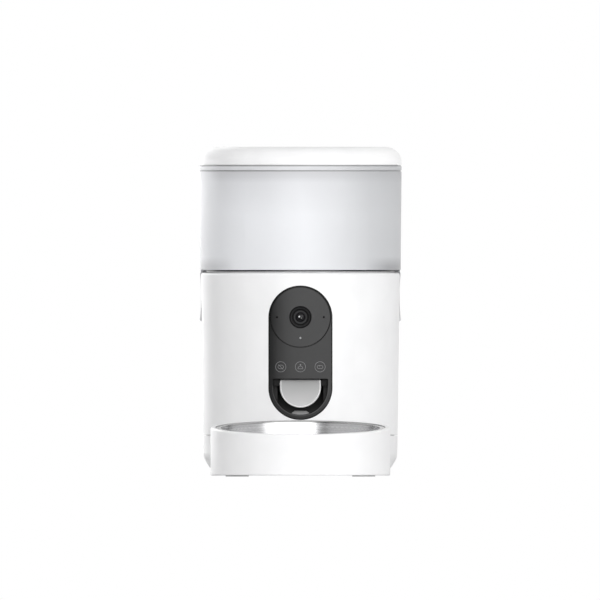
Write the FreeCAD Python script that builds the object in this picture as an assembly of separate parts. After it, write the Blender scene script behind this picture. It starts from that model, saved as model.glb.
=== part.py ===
import FreeCAD, Part

import math
import os

from FreeCAD import Vector

# Automatic pet feeder with camera, in millimetres, +Z up, front towards -Y.
# The origin is at the centre of the footprint, on the surface that it stands on.

# Plan outline shared by base, body, hopper and lid
front_radius = 104.0
front_centre = 10.0
front_half_angle = 30.0
side_radius = 84.0
back_corner_radius = 34.0
back_depth = 66.0

# Heights
base_bottom = 2.5
skirt_top = 19.5
seam = 39.3
seam_gap = 0.6
body_top = 195.4
hopper_bottom = 197.4
collar_bottom = 292.9
hopper_top = 297.6
lid_bottom = 298.0
lid_top = 315.2

# How far each level stands out from the plan outline
seam_grow = -1.1
body_flare = 0.0139
hopper_low_grow = 1.9
hopper_high_grow = 2.8
lid_grow = 2.9

# Walls
body_wall = 3.0
body_edge_radius = 3.2
base_wall = 2.6
hopper_wall = 2.4
lid_wall = 2.5
lid_edge_radius = 15.5
base_edge_radius = 14.0

# Bowl and its tray
tray_radius = 85.9
tray_bottom = 0.8
tray_front_height = 40.1
tray_rear_height = 53.9
tray_wall = 2.6
tray_gap = 0.4
bowl_radius = 80.8
bowl_depth = 33.0
tongue_half_width = 26.0
tongue_end = -69.0
slot_end = -62.0

# Camera end and panel
panel_half_width = 30.5
panel_low = 54.1
panel_high = 182.4
panel_proud = 0.5
panel_thickness = 2.2
camera_height = 152.3
camera_disc_radius = 28.65
camera_disc_gap = 0.35
panel_bevel = (0.9, 0.45)
outlet_bevel = (0.45, 0.9)
lens_radius = 10.6
sight_hole_spacing = 22.4
sight_hole_radius = 0.85
status_light_height = 132.4
touch_height = 104.8

# Outlet
outlet_half_width = 26.0
outlet_top = 93.1
outlet_round_height = 84.6
chute_wall = 1.8
channel_half = 22.0
mouth_half = outlet_half_width - 0.4
mouth_top = 94.2
mouth_hole_half = mouth_half + chute_wall + 0.2
flap_half_width = 19.6
flap_top = 92.7
flap_bevel = 0.8
flap_round_height = 85.5
flap_pin_height = 89.2
flap_pin_depth = 84.9
flap_pin_radius = 1.2

# Dosing chamber and paddle wheel
wheel_depth = -14.0
chamber_radius = 50.0
chamber_floor_bottom = 117.0
chamber_floor_top = 119.5
chamber_top = 152.0
funnel_low = 150.0
funnel_high = 222.0
funnel_radius = 52.0
well_floor_bottom = 114.4
well_floor_top = 116.7
vane_count = 6
vane_radius = 44.0
wiper_radius = 49.4

# Gear train
gear_module = 1.0
pinion_teeth = 12
wheel_teeth = 36
gear_centres = gear_module * (pinion_teeth + wheel_teeth) / 2
gear_floor = 88.0
gear_ceiling = 106.0

# Running clearances
shaft_play = 0.06
piece_gap = 0.3

side_centre_x = (front_radius - side_radius) * math.sin(math.radians(front_half_angle))
side_centre_y = front_centre - (front_radius - side_radius) * math.cos(math.radians(front_half_angle))
half_width = side_centre_x + side_radius
front_depth = front_radius - front_centre
corner_x = half_width - back_corner_radius
corner_y = back_depth - back_corner_radius


def body_grow(z):
    return seam_grow + (z - seam) * body_flare


def hopper_grow(z):
    share = (z - hopper_bottom) / (hopper_top - hopper_bottom)
    return hopper_low_grow + (hopper_high_grow - hopper_low_grow) * share


# The plan's centre lies behind the origin, because the tray stands in front of the body
tray_from_plan = front_depth + body_grow(tray_rear_height) + tray_gap + tray_radius
plan_y = (tray_from_plan + tray_radius - back_depth - lid_grow) / 2
tray_y = plan_y - tray_from_plan
wheel_y = plan_y + wheel_depth

os.makedirs("parts", exist_ok=True)


def export(name, shape):
    if shape.ShapeType == "Compound" and len(shape.Solids) == 1:
        shape = shape.Solids[0]
    print(name, "solids", len(shape.Solids), "valid", shape.isValid(), "volume", round(shape.Volume))
    shape.exportStep("parts/" + name + ".step")


def front_of(grow):
    """Depth of the front surface on the centre line, for an outline grown by that much."""
    return plan_y - front_depth - grow


def box(x0, x1, y0, y1, z0, z1):
    return Part.makeBox(x1 - x0, y1 - y0, z1 - z0, Vector(x0, y0, z0))


def plan_box(x0, x1, y0, y1, z0, z1):
    """A box whose depths are counted from the plan's centre."""
    return box(x0, x1, plan_y + y0, plan_y + y1, z0, z1)


def rod(radius, x, y, z0, z1):
    return Part.makeCylinder(radius, z1 - z0, Vector(x, y, z0))


def rod_x(radius, x0, x1, y, z):
    return Part.makeCylinder(radius, x1 - x0, Vector(x0, y, z), Vector(1, 0, 0))


def rod_y(radius, x, y0, y1, z):
    return Part.makeCylinder(radius, y1 - y0, Vector(x, y0, z), Vector(0, 1, 0))


def tube(outer, inner, x, y, z0, z1):
    return rod(outer, x, y, z0, z1).cut(rod(inner, x, y, z0 - 1, z1 + 1))


def join(first, *others):
    return first.fuse(list(others)).removeSplitter()


def mirrored(shape):
    return shape.mirror(Vector(0, 0, 0), Vector(1, 0, 0))


def arc_edge(cx, cy, radius, start, end, z):
    def at(angle):
        a = math.radians(angle)
        return Vector(cx + radius * math.cos(a), cy + radius * math.sin(a), z)

    return Part.Arc(at(start), at((start + end) / 2), at(end)).toShape()


def outline(grow, z):
    """The plan outline, grown outwards, as eight tangent edges."""
    low = -90 + front_half_angle
    front = arc_edge(0, plan_y + front_centre, front_radius + grow, -180 - low, low, z)
    right = arc_edge(side_centre_x, plan_y + side_centre_y, side_radius + grow, low, 0, z)
    left = arc_edge(-side_centre_x, plan_y + side_centre_y, side_radius + grow, -180, -180 - low, z)
    corner_r = arc_edge(corner_x, plan_y + corner_y, back_corner_radius + grow, 0, 90, z)
    corner_l = arc_edge(-corner_x, plan_y + corner_y, back_corner_radius + grow, 90, 180, z)
    x = half_width + grow
    y = plan_y + back_depth + grow
    side_r = Part.makeLine(Vector(x, plan_y + side_centre_y, z), Vector(x, plan_y + corner_y, z))
    back = Part.makeLine(Vector(corner_x, y, z), Vector(-corner_x, y, z))
    side_l = Part.makeLine(Vector(-x, plan_y + corner_y, z), Vector(-x, plan_y + side_centre_y, z))
    return Part.Wire([front, right, side_r, corner_r, back, corner_l, side_l, left])


def circle_like_outline(radius, z):
    """A circle round the wheel's axis, split where the outline has its corners."""
    turns = []
    for vertex in outline(0, z).OrderedVertexes:
        turns.append(math.degrees(math.atan2(vertex.Point.y - wheel_y, vertex.Point.x)))
    turns = [turn % 360 for turn in turns]
    edges = []
    for start, end in zip(turns, turns[1:] + turns[:1]):
        while end <= start:
            end += 360
        edges.append(arc_edge(0, wheel_y, radius, start, end, z))
    return Part.Wire(edges)


def shell_block(grow_low, z0, grow_high, z1):
    """A solid between two levels, each with its own outline."""
    if grow_low == grow_high:
        return Part.Face(outline(grow_low, z0)).extrude(Vector(0, 0, z1 - z0))
    return Part.makeLoft([outline(grow_low, z0), outline(grow_high, z1)], True, True)


def body_block(inset, z0, z1):
    return shell_block(body_grow(z0) - inset, z0, body_grow(z1) - inset, z1)


def funnel_block(grow):
    """The funnel from the round chamber up to the hopper's wall, grown sideways."""
    top_grow = hopper_grow(funnel_high) - hopper_wall + grow
    wires = [circle_like_outline(funnel_radius + grow, funnel_low), outline(top_grow, funnel_high)]
    return Part.makeLoft(wires, True, True)


def slab(z0, z1):
    return plan_box(-120, 120, -120, 90, z0, z1)


def upright_slot(half, low, high, y0, y1):
    """A stadium standing in the X-Z plane, run along Y."""
    mid_low = low + half
    mid_high = high - half
    right = Part.makeLine(Vector(half, y0, mid_low), Vector(half, y0, mid_high))
    top = Part.Arc(Vector(half, y0, mid_high), Vector(0, y0, high), Vector(-half, y0, mid_high)).toShape()
    left = Part.makeLine(Vector(-half, y0, mid_high), Vector(-half, y0, mid_low))
    bottom = Part.Arc(Vector(-half, y0, mid_low), Vector(0, y0, low), Vector(half, y0, mid_low)).toShape()
    return Part.Face(Part.Wire([right, top, left, bottom])).extrude(Vector(0, y1 - y0, 0))


def arch(half, top, round_height, corner, y0, y1):
    """A flat-topped shape with a half-round bottom, in the X-Z plane, run along Y."""
    k = corner * (1 - math.sqrt(0.5))
    points = [Vector(half, y0, round_height), Vector(half, y0, top - corner)]
    right = Part.makeLine(*points)
    turn_r = Part.Arc(points[1], Vector(half - k, y0, top - k), Vector(half - corner, y0, top)).toShape()
    roof = Part.makeLine(Vector(half - corner, y0, top), Vector(corner - half, y0, top))
    turn_l = Part.Arc(
        Vector(corner - half, y0, top), Vector(k - half, y0, top - k), Vector(-half, y0, top - corner)
    ).toShape()
    left = Part.makeLine(Vector(-half, y0, top - corner), Vector(-half, y0, round_height))
    low = round_height - half
    bowl_arc = Part.Arc(Vector(-half, y0, round_height), Vector(0, y0, low), points[0]).toShape()
    return Part.Face(Part.Wire([right, turn_r, roof, turn_l, left, bowl_arc])).extrude(Vector(0, y1 - y0, 0))


def level_edges(shape, z):
    return [e for e in shape.Edges if abs(e.BoundBox.ZMax - z) < 0.01 and e.BoundBox.ZLength < 0.01]


def side_profile(points, half):
    """A polygon of depths and heights, run across X from -half to +half."""
    corners = [Vector(-half, plan_y + y, z) for y, z in points]
    return Part.Face(Part.makePolygon(corners + corners[:1])).extrude(Vector(2 * half, 0, 0))


def panel_skin(outer, thickness, z0, z1):
    """A slice of the body's front skin."""
    skin = body_block(-outer, z0, z1).cut(body_block(thickness - outer, z0 - 1, z1 + 1))
    return skin.common(plan_box(-60, 60, -110, -70, z0, z1))


screw_places = [(74, -12), (-74, -12), (62, 42), (-62, 42)]
base_foot_places = [(57, -42), (-57, -42), (64, 24), (-64, 24)]
bay = {"x": 54.0, "y0": -28.0, "y1": 38.0, "top": 38.9}
foot_radius = 7.5
foot_recess = 1.2


def bay_box(grow, z0, z1):
    return plan_box(-bay["x"] - grow, bay["x"] + grow, bay["y0"] - grow, bay["y1"] + grow, z0, z1)


# Base: a tapered tub with the battery bay, the tray's slot and four screw posts
def make_base():
    low = body_grow(skirt_top)
    taper = [(base_bottom, 11.4), (8.0, 6.4), (14.9, 2.05), (skirt_top, 0.0)]
    skirt = Part.makeLoft([outline(low - inset, z) for z, inset in taper], True, False)
    wall_top = seam - seam_gap / 2
    outer = join(skirt, shell_block(low, skirt_top, body_grow(wall_top), wall_top))
    outer = outer.makeFillet(base_edge_radius, level_edges(outer, skirt_top))
    floor_top = base_bottom + base_wall
    inner_taper = [(floor_top, 12.6), (10.0, 7.6), (14.9, 4.65), (skirt_top, base_wall)]
    hollow = Part.makeLoft([outline(low - inset, z) for z, inset in inner_taper], True, False)
    hollow = hollow.fuse(shell_block(low - base_wall, skirt_top, seam_grow - base_wall, seam + 1))
    lip = shell_block(seam_grow - base_wall, seam - 6, seam_grow - base_wall - 0.6, seam + 3.4)
    lip = lip.cut(shell_block(seam_grow - 4.2, seam - 7, seam_grow - 4.8, seam + 4))
    body = outer.cut(hollow)
    bay_block = bay_box(2.0, base_bottom, bay["top"] + 1.6)
    channel = plan_box(-tongue_half_width - 3, tongue_half_width + 3, -91.0, slot_end + 2.5, base_bottom, 17.5)
    channel = channel.common(outer)
    posts = [rod(4.5, x, plan_y + y, base_bottom, wall_top) for x, y in screw_places]
    body = join(body, lip, bay_block, channel, *posts)
    bay_void = bay_box(0, base_bottom - 1, bay["top"])
    cover_seat = bay_box(1.2, 0, base_bottom + 2.0)
    slot = plan_box(-tongue_half_width - 0.5, tongue_half_width + 0.5, -110, slot_end, 6.0, 14.5)
    cuts = [bay_void, cover_seat, slot]
    for x, y in screw_places:
        cuts.append(rod(1.7, x, plan_y + y, 0, seam + 5))
        cuts.append(rod(3.3, x, plan_y + y, 0, base_bottom + 6))
    for x, y in base_foot_places:
        cuts.append(rod(foot_radius, x, plan_y + y, 0, base_bottom + foot_recess))
    cover_boss = plan_box(-6, 6, bay["y1"] - 6, bay["y1"] + 1, base_bottom + 2.0, 14)
    return join(body.cut(cuts), cover_boss).cut(rod(1.2, 0, plan_y + bay["y1"] - 2.5, 0, 12))


export("base", make_base())

feet = [rod(foot_radius, x, plan_y + y, 0, base_bottom + foot_recess) for x, y in base_foot_places]
export("body_feet", Part.makeCompound(feet))


def make_battery_cover():
    plate = bay_box(1.0, base_bottom, base_bottom + 2.0)
    plate = plate.makeFillet(0.6, level_edges(plate, base_bottom))
    grip = [plan_box(-12, 12, y, y + 1.4, base_bottom - 1, base_bottom + 0.7) for y in (-20, -17, -14)]
    screw_y = plan_y + bay["y1"] - 2.5
    head = [rod(1.4, 0, screw_y, 0, 8), rod(2.6, 0, screw_y, 0, base_bottom + 1.1)]
    return plate.cut(grip + head)


export("battery_cover", make_battery_cover())

screw_y = plan_y + bay["y1"] - 2.5
screw_head = rod(2.4, 0, screw_y, base_bottom + 0.1, base_bottom + 1.1)
export("cover_screw", join(screw_head, rod(1.2, 0, screw_y, base_bottom + 1, 11)))

# Three cells lie side by side across the bay, between contact plates at its front and back
cell_pitch = 2 * bay["x"] / 3
contacts = []
for index in range(3):
    x = (index - 1) * cell_pitch
    for y, turn in ((bay["y0"], 1), (bay["y1"], -1)):
        plate_y = sorted((y, y + 0.8 * turn))
        plate = plan_box(x - 9, x + 9, plate_y[0], plate_y[1], 16, 34)
        dimple = Part.makeCone(4.5, 2.5, 1.6, Vector(x, plan_y + y + 0.8 * turn, 25), Vector(0, turn, 0))
        contacts.append(plate.fuse(dimple))
export("battery_contacts", Part.makeCompound(contacts))


# Body shell: the wall with the panel's recess, screw bosses and openings
latch_middle = 12.35
pocket_half = 18.6
pocket_low = 143.0
pocket_step = 186.0
pocket_floor_low = 91.2
pocket_floor_high = 88.2
pocket_back = 85.6
pocket_border = 2.0
deck_thickness = 3.0
deck_bottom = body_top - deck_thickness
shelf_width = 1.6
shelf_height = 2.4
speaker_x = 44.0
speaker_z = 100.0
inlet_x = -30.0
inlet_z = 47.2
reset_x = -8.0
reset_z = 49.8


def latch_room(side):
    """The space round one latch, open at the side and at the top, deeper above its step."""
    y0 = latch_middle - pocket_half
    y1 = latch_middle + pocket_half
    x0, x1 = sorted((pocket_floor_low * side, 110 * side))
    low = plan_box(x0, x1, y0, y1, pocket_low, 205)
    x0, x1 = sorted((pocket_floor_high * side, 110 * side))
    return low.fuse(plan_box(x0, x1, y0, y1, pocket_step, 205))


def pocket_block(side):
    """What closes a latch's pocket behind the wall, up to the deck."""
    x0, x1 = sorted((pocket_back * side, 100 * side))
    y0 = latch_middle - pocket_half - pocket_border
    y1 = latch_middle + pocket_half + pocket_border
    block = plan_box(x0, x1, y0, y1, pocket_low - pocket_border, deck_bottom)
    return block.common(body_block(body_wall, pocket_low - 5, deck_bottom))


latch_rooms = [latch_room(side) for side in (-1, 1)]
pocket_blocks = [pocket_block(side) for side in (-1, 1)]


def make_body_shell():
    low = seam + seam_gap / 2
    outer = body_block(0, low, body_top)
    outer = outer.makeFillet(body_edge_radius, level_edges(outer, body_top))
    hollow = body_block(body_wall, low - 1, deck_bottom)
    deck_seat = body_block(body_edge_radius, deck_bottom, body_top + 1)
    shelf_low = deck_bottom - shelf_height
    shelf = body_block(body_wall - 0.1, shelf_low, deck_bottom)
    shelf = shelf.cut(body_block(body_wall + shelf_width, shelf_low - 1, deck_bottom + 1))
    blocks = [shelf]
    for side in (-1, 1):
        boss_x, boss_y = screw_places[0]
        blocks.append(rod(4.5, boss_x * side, plan_y + boss_y, low, 62))
        rib = sorted((boss_x * side, 92.0 * side))
        blocks.append(plan_box(rib[0], rib[1], boss_y - 1, boss_y + 1, low + 4, 60))
        boss_x, boss_y = screw_places[2]
        blocks.append(rod(4.5, boss_x * side, plan_y + boss_y, low, 62))
        blocks.append(plan_box(boss_x * side - 1, boss_x * side + 1, boss_y, 64, low + 4, 60))
    body = join(outer.cut([hollow, deck_seat]), *blocks)
    cuts = latch_rooms + pocket_blocks
    for x, y in screw_places:
        cuts.append(rod(1.5, x, plan_y + y, low - 1, 58))
    recess = body_block(-5, 50, 190).cut(body_block(panel_thickness - panel_proud + 0.05, 49, 191))
    play = 0.15
    room = upright_slot(panel_half_width + play, panel_low - play, panel_high + play, plan_y - 130, plan_y - 70)
    cuts.append(recess.common(room))
    cuts.append(rod_y(20.0, 0, plan_y - 110, plan_y - 80, camera_height))
    cuts.append(rod_y(1.4, 0, plan_y - 110, plan_y - 80, status_light_height))
    cuts.append(plan_box(-27, 27, -110, -80, touch_height - 8.3, touch_height + 8.3))
    cuts.append(arch(mouth_hole_half, mouth_top + 2.0, outlet_round_height, 2.0, plan_y - 110, plan_y - 80))
    for index in range(5):
        bar = upright_slot(1.1, speaker_z - 12, speaker_z + 12, plan_y + 55, plan_y + 75)
        bar.translate(Vector(speaker_x + (index - 2) * 5.5, 0, 0))
        cuts.append(bar)
    socket = plan_box(inlet_x - 6.2, inlet_x + 6.2, 55, 75, inlet_z - 3.3, inlet_z + 3.3)
    cuts.append(socket.makeFillet(3.0, [e for e in socket.Edges if e.BoundBox.YLength > 15]))
    cuts.append(rod_y(2.8, reset_x, plan_y + 55, plan_y + 75, reset_z))
    return body.cut(cuts)


export("body_shell", make_body_shell())
export("latch_pocket_left", pocket_blocks[0].cut(latch_rooms[0]))
export("latch_pocket_right", pocket_blocks[1].cut(latch_rooms[1]))

# Deck: the body's top inside its rounded edge, with the hopper's hole and a rim inside the hopper's skirt
rim_inset = 4.6
rim_width = 1.6
rim_top = 200.0
deck = body_block(body_edge_radius, deck_bottom, body_top)
rim = body_block(rim_inset, body_top, rim_top).cut(body_block(rim_inset + rim_width, body_top - 1, rim_top + 1))
export("body_deck", join(deck, rim).cut([funnel_block(3.3)] + latch_rooms))


def food_window(grow, z0, z1):
    """The opening in the chamber's floor that the food drops through."""
    frame = plan_box(-21 - grow, 21 + grow, -66, -36.5 + grow, z0, z1)
    return frame.common(rod(48 + grow, 0, wheel_y, z0, z1))


def make_hopper_well():
    outer = funnel_block(5.3).common(slab(funnel_low, deck_bottom))
    flange = funnel_block(8.0).common(slab(deck_bottom - 2.0, deck_bottom))
    chamber = rod(funnel_radius + 5.3, 0, wheel_y, well_floor_bottom, funnel_low)
    body = join(outer, flange, chamber)
    cuts = [
        funnel_block(3.3),
        rod(funnel_radius + 3.3, 0, wheel_y, well_floor_top, funnel_low),
        food_window(0.5, 100, 120),
        rod(10.5, 0, wheel_y, 100, 120),
    ]
    return body.cut(cuts)


export("hopper_well", make_hopper_well())


# Chute: from the window down to an arched mouth behind the panel, with a cheek on each side for the flap's pin
mouth_back = -79.0
cheek_inner = 20.3
cheek_front = -87.6
cheek_low = 86.6


def chute_space(points, half, arch_half, top):
    """The sloping channel, its lower part narrowed to the mouth's arch."""
    channel = side_profile(points, half)
    low = arch(arch_half, top, outlet_round_height, 0.8, plan_y - 110, plan_y - 20)
    return channel.common(low.fuse(plan_box(-40, 40, -110, -20, outlet_round_height, 130)))


def make_chute():
    rear = mouth_back - chute_wall
    inner_points = [
        (-36.2, 120.0), (-36.2, 114.4), (-81.5, 58.0), (-81.5, mouth_top),
        (-79.5, mouth_top), (-62.6, 114.4), (-62.6, 120.0),
    ]
    outer_points = [(-33.9, 114.4), (-79.0, 57.6), (-79.0, 97.0), (-64.9, 114.4)]
    outer_half = mouth_half + chute_wall
    outer_top = mouth_top + chute_wall
    mouth = arch(outer_half, outer_top, outlet_round_height, 1.8, plan_y - 110, plan_y + mouth_back)
    mouth = mouth.common(body_block(panel_thickness - panel_proud + 0.1, 50, 110))
    outer = chute_space(outer_points, channel_half + chute_wall, outer_half, outer_top)
    inner = chute_space(inner_points, channel_half, mouth_half, mouth_top)
    bore = arch(mouth_half, mouth_top, outlet_round_height, 0.8, plan_y - 110, plan_y + rear)
    flange = plan_box(-27, 27, -67.5, -31.0, well_floor_bottom - 2.0, well_floor_bottom)
    cheeks = []
    for side in (-1, 1):
        x0, x1 = sorted((cheek_inner * side, (mouth_half + 0.5) * side))
        cheeks.append(plan_box(x0, x1, cheek_front, rear + 0.5, cheek_low, mouth_top + 0.5))
    pin_hole = rod_x(flap_pin_radius, -40, 40, plan_y - flap_pin_depth, flap_pin_height)
    return join(join(outer, mouth, flange).cut([inner, bore]), *cheeks).cut(pin_hole)


export("chute", make_chute())


def make_outlet_lip():
    def edge(y, half, height):
        corners = [Vector(-half, y, 56), Vector(half, y, 56), Vector(half, y, height), Vector(-half, y, height)]
        return Part.makePolygon(corners + corners[:1])

    back = plan_y + mouth_back - chute_wall
    ramp = Part.makeLoft([edge(plan_y - 92.0, 8.6, 60.4), edge(back, 5.6, 62.8)], True, True)
    return ramp.common(arch(mouth_half, mouth_top, outlet_round_height, 0.8, plan_y - 110, plan_y - 70))


export("outlet_lip", make_outlet_lip())

flap_pin_length = 27.0
flap_pin = rod_x(flap_pin_radius, -flap_pin_length, flap_pin_length, plan_y - flap_pin_depth, flap_pin_height)
export("flap_pin", flap_pin)


def make_flap():
    front = plan_y - 87.4
    plate = arch(flap_half_width, flap_top, flap_round_height, 1.8, front, front + 1.6)
    rim = [e for e in plate.Edges if abs(e.BoundBox.YMax - front) < 0.01 and e.BoundBox.YLength < 0.01]
    plate = plate.makeChamfer(flap_bevel, rim)
    pieces = []
    pin_y = plan_y - flap_pin_depth
    for x in (-15, 15):
        knuckle = rod_x(2.4, x - 3, x + 3, pin_y, flap_pin_height)
        web = box(x - 3, x + 3, front + 1.0, pin_y, flap_pin_height - 2.4, flap_pin_height + 2.4)
        pieces += [knuckle, web]
    rib = box(-0.8, 0.8, front + 1.0, front + 3.2, 70, 86)
    flap = join(plate, rib, *pieces)
    return flap.cut(rod_x(flap_pin_radius + shaft_play, -40, 40, pin_y, flap_pin_height))


export("flap", make_flap())


# Front panel and the camera end
def front_edges(shape, low, high):
    """The edges on the panel's front surface that lie between two heights."""
    found = []
    for edge in shape.Edges:
        span = edge.LastParameter - edge.FirstParameter
        stand_out = []
        for share in (0.1, 0.5, 0.9):
            point = edge.valueAt(edge.FirstParameter + span * share)
            radius = math.hypot(point.x, point.y - plan_y - front_centre)
            stand_out.append(radius - front_radius - body_grow(point.z))
        on_front = all(abs(value - panel_proud) < 0.02 for value in stand_out)
        if on_front and edge.BoundBox.ZMin > low and edge.BoundBox.ZMax < high:
            found.append(edge)
    return found


def make_front_panel():
    skin = panel_skin(panel_proud, panel_thickness, 50, 190)
    panel = skin.common(upright_slot(panel_half_width, panel_low, panel_high, plan_y - 130, plan_y - 70))
    panel = panel.makeChamfer(*panel_bevel, front_edges(panel, 50, 190))
    hole = rod_y(camera_disc_radius + camera_disc_gap, 0, plan_y - 110, plan_y - 70, camera_height)
    mouth = arch(outlet_half_width, outlet_top, outlet_round_height, 0.8, plan_y - 110, plan_y - 70)
    panel = panel.cut([hole, mouth])
    mouth_low = outlet_round_height - outlet_half_width
    return panel.makeChamfer(*outlet_bevel, front_edges(panel, mouth_low - 1, outlet_top + 0.1))


export("front_panel", make_front_panel())

face_y = front_of(body_grow(camera_height) + panel_proud)


def make_camera_disc():
    skin = panel_skin(panel_proud, panel_thickness, 115, 190)
    disc = skin.common(rod_y(camera_disc_radius, 0, plan_y - 110, plan_y - 70, camera_height))
    disc = disc.makeChamfer(0.3, front_edges(disc, 115, 190))
    posts = [rod_y(1.8, x, face_y + 1.5, face_y + 14.4, camera_height) for x in (-15, 15)]
    cuts = [rod_y(lens_radius + 0.1, 0, plan_y - 110, plan_y - 70, camera_height)]
    for x in (-sight_hole_spacing, sight_hole_spacing):
        cuts.append(rod_y(sight_hole_radius, x, plan_y - 110, plan_y - 70, camera_height))
    cuts.append(rod_y(0.9, 0, plan_y - 110, plan_y - 70, status_light_height))
    return join(disc, *posts).cut(cuts)


export("camera_disc", make_camera_disc())

hood_front = face_y - 0.7
hood_back = face_y + 4.3
hood_bore = 4.9
lens_dome_radius = 7.0
lens_dome_depth = 1.5


def make_lens_hood():
    """A ring with a flange behind the disc and a bore that steps down to the lens."""
    hood = rod_y(lens_radius, 0, hood_front, hood_back, camera_height)
    hood = hood.makeChamfer(0.4, [e for e in hood.Edges if abs(e.BoundBox.YMax - hood_front) < 0.01][:1])
    hood = join(hood, rod_y(12.5, 0, face_y + 3.1, hood_back, camera_height))
    steps = [
        (0, -1), (10.0, -1), (10.0, 0), (9.3, 1.5), (7.7, 1.9), (7.1, 3.2), (6.4, 3.2),
        (6.3, 2.7), (5.0, 2.9), (hood_bore, 3.2), (hood_bore, 6), (0, 6),
    ]
    corners = [Vector(radius, hood_front + depth, camera_height) for radius, depth in steps]
    section = Part.Face(Part.makePolygon(corners + corners[:1]))
    return hood.cut(section.revolve(Vector(0, 0, camera_height), Vector(0, 1, 0), 360))


export("lens_hood", make_lens_hood())

dome_y = hood_front + lens_dome_depth + lens_dome_radius
dome = Part.makeSphere(lens_dome_radius, Vector(0, dome_y, camera_height))
export("lens", dome.common(rod_y(hood_bore - 0.05, 0, hood_front, hood_back, camera_height)))

barrel = rod_y(8.5, 0, hood_back, face_y + 14.4, camera_height)
export("lens_barrel", barrel.cut(rod_y(4.5, 0, hood_back - 1, hood_back + 8, camera_height)))

board_y = face_y + 14.4
export("camera_board", box(-18, 18, board_y, board_y + 1.6, camera_height - 13, camera_height + 13))

export("status_light", rod_y(0.9, 0, face_y, face_y + 9, status_light_height))

touch_back = panel_skin(panel_proud - panel_thickness - 0.05, 0.9, touch_height - 7.8, touch_height + 7.8)
export("touch_board", touch_back.common(plan_box(-26, 26, -110, -70, 90, 120)))

# Hopper: the tank's wall with ears for the latches, and below it the funnel and the dosing chamber
latch_pin_x = 92.4
latch_pin_z = 193.4
latch_pin_radius = 1.2
knuckle_radius = 3.4
ear_inner = 13.4
ear_outer = 17.6
rebate = 1.0
chamber_wall = 2.5
groove_depth = 0.8
groove_height = 1.3
shadow_gap = 1.1


def hopper_block(inset, z0, z1):
    return shell_block(hopper_grow(z0) - inset, z0, hopper_grow(z1) - inset, z1)


def wall_groove(z0, z1):
    """What is cut from the outside of the hopper's wall between two heights."""
    return hopper_block(-5, z0, z1).cut(hopper_block(groove_depth, z0 - 1, z1 + 1))


def make_hopper():
    wall = hopper_block(0, hopper_bottom, hopper_top)
    wall = wall.makeFillet(0.7, level_edges(wall, hopper_bottom))
    skirt_void = hopper_block(hopper_wall - rebate, hopper_bottom - 1, funnel_high)
    tank_void = hopper_block(hopper_wall, funnel_high, hopper_top + 1)
    ears = []
    for side in (-1, 1):
        for y0 in (latch_middle + ear_inner, latch_middle - ear_outer):
            x0, x1 = sorted((90.4 * side, 95.2 * side))
            ear = plan_box(x0, x1, y0, y0 + ear_outer - ear_inner, 190.6, 206)
            low_edges = [e for e in ear.Edges if e.BoundBox.ZMax < 191 and e.BoundBox.YLength > 1]
            ears.append(ear.makeFillet(1.9, low_edges))
    body = join(wall.cut([skirt_void, tank_void]), *ears)
    cuts = [
        wall_groove(collar_bottom - groove_height, collar_bottom),
        wall_groove(hopper_top - shadow_gap, hopper_top + 1),
    ]
    for x in (-latch_pin_x, latch_pin_x):
        cuts.append(rod_y(latch_pin_radius, x, plan_y - 20, plan_y + 50, latch_pin_z))
    return body.cut(cuts)


export("hopper", make_hopper())

# The funnel's rim lies in the wall's rebate, and its foot stands on the dosing chamber's edge
chamber_block = rod(chamber_radius + chamber_wall, 0, wheel_y, chamber_floor_bottom, chamber_top)
funnel = funnel_block(hopper_wall - 0.1).common(hopper_block(hopper_wall - rebate, funnel_low, funnel_high))
export("hopper_funnel", funnel.cut([funnel_block(0).common(slab(chamber_top, funnel_high)), chamber_block]))

chamber_cuts = [
    rod(chamber_radius, 0, wheel_y, chamber_floor_top, chamber_top),
    food_window(0, 100, 122),
    rod(12 + shaft_play, 0, wheel_y, 100, 122),
]
export("dosing_chamber", chamber_block.cut(chamber_cuts))

pins = []
for x in (-latch_pin_x, latch_pin_x):
    y_mid = plan_y + latch_middle
    pins.append(rod_y(latch_pin_radius, x, y_mid - ear_outer + 0.4, y_mid + ear_outer - 0.4, latch_pin_z))
export("latch_pins", Part.makeCompound(pins))


def make_latch():
    """The right-hand latch: a plate under a knuckle, flared at its foot for a fingertip."""
    y_mid = plan_y + latch_middle
    half = pocket_half - 0.6
    start = y_mid - half
    outer = [
        Vector(latch_pin_x + knuckle_radius, start, latch_pin_z),
        Vector(94.9, start, 172),
        Vector(95.9, start, 151.5),
        Vector(94.4, start, 148.2),
        Vector(92.9, start, 150.2),
        Vector(92.3, start, 172),
        Vector(latch_pin_x, start, latch_pin_z),
    ]
    edges = [
        Part.Arc(outer[0], outer[1], outer[2]).toShape(),
        Part.Arc(outer[2], Vector(95.55, start, 148.8), outer[3]).toShape(),
        Part.Arc(outer[3], Vector(93.2, start, 148.7), outer[4]).toShape(),
        Part.makeLine(outer[4], outer[5]),
        Part.makeLine(outer[5], outer[6]),
        Part.makeLine(outer[6], outer[0]),
    ]
    plate = Part.Face(Part.Wire(edges)).extrude(Vector(0, 2 * half, 0))
    knuckle_half = ear_inner - 0.3
    knuckle = rod_y(knuckle_radius, latch_pin_x, y_mid - knuckle_half, y_mid + knuckle_half, latch_pin_z)
    bead = rod_y(0.8, 92.7, y_mid - 10, y_mid + 10, 164)
    clear = [
        box(85, 100, y_mid + knuckle_half, y_mid + 30, 189.6, 200),
        box(85, 100, y_mid - 30, y_mid - knuckle_half, 189.6, 200),
        rod_y(latch_pin_radius + shaft_play, latch_pin_x, y_mid - 30, y_mid + 30, latch_pin_z),
    ]
    return join(plate, knuckle, bead).cut(clear)


latch = make_latch()
export("latch_right", latch)
export("latch_left", mirrored(latch))


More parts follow.
